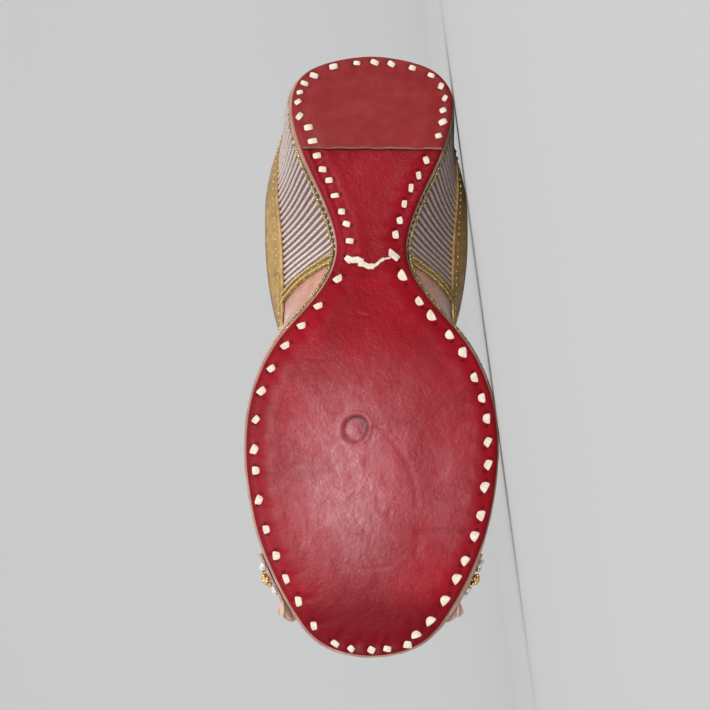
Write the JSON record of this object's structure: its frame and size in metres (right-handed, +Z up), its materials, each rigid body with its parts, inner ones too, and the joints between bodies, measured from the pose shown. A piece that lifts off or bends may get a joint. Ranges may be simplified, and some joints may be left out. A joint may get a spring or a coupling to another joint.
{
  "type": "mojari shoe",
  "caption": "Child's flat slip-on mojari shoe: stitched red leather sole with a heel lift, hollow pink and silver-ribbed upper, gold topline binding and a beaded toe garland.",
  "frame": {"origin": "on the floor, under the middle of the shoe's box as it lies on its side", "axes": "+X from toe to heel, +Y from the sole towards the collar, +Z up from the floor; the sole looks to -Y"},
  "size_m": [0.1906, 0.0494, 0.0835],
  "materials": {
    "sole_leather": "polished red leather",
    "heel_leather": "matte brick red leather",
    "rand_leather": "raw beige-pink leather edge",
    "insole_leather": "soft tan leather",
    "vamp_cloth": "salmon pink cloth with gold glitter at its edges",
    "zari_cloth": "mauve-brown cloth laid with silver-pink metal cords",
    "zari_thread": "silver-pink metallic cord",
    "gold_leather": "tan gold leather",
    "gold_thread": "metallic gold thread",
    "gold_bead": "bright gold beads",
    "petal_cloth": "dusty pink cloth",
    "crystal": "clear cut crystal",
    "white_thread": "waxed cream thread",
    "lining_leather": "plain tan lining"
  },
  "bodies": {
    "root": {"outsole": "sole_leather", "heel_lift": "heel_leather", "rand": "rand_leather", "insole": "insole_leather", "upper": "vamp_cloth", "collar_binding": "gold_leather", "seam_band_right": "gold_thread", "seam_band_left": "gold_thread", "toe_band": "petal_cloth", "bead_string": "gold_bead", "petal_frill": "petal_cloth"}
  },
  "joints": []
}
